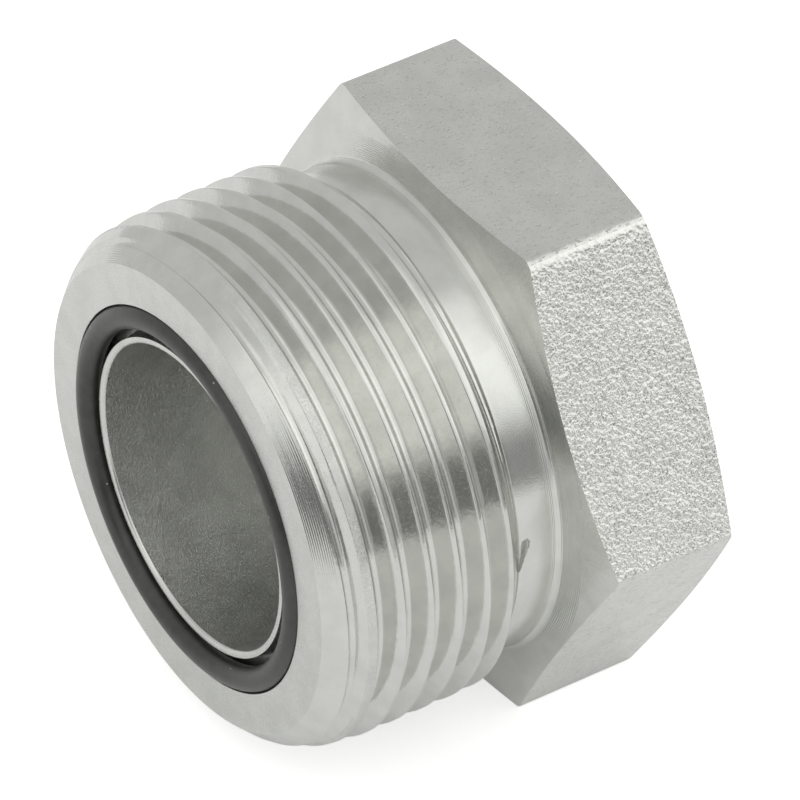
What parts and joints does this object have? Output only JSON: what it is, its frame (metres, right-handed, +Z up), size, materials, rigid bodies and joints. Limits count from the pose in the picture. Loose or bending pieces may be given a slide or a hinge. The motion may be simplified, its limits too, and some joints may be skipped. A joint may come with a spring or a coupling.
{
  "type": "hydraulic face seal plug",
  "caption": "Steel hexagon plug with a fine external thread, a blind bore and a rubber sealing ring held in a groove in its flat nose.",
  "frame": {"origin": "on the surface that the lower hexagon flat lies on, under the centre of the part's box", "axes": "X along the thread's axis with the seal face towards -X, Y across two corners of the hexagon, Z up across two of its flats"},
  "size_m": [0.0286, 0.0432, 0.0375],
  "materials": {
    "plated_steel": "satin zinc plating, turned on the nose and thread, forged grain on one flat",
    "seal_rubber": "matt black moulded rubber"
  },
  "bodies": {
    "root": {"plug_body": "plated_steel", "face_seal_o_ring": "seal_rubber"}
  },
  "joints": []
}
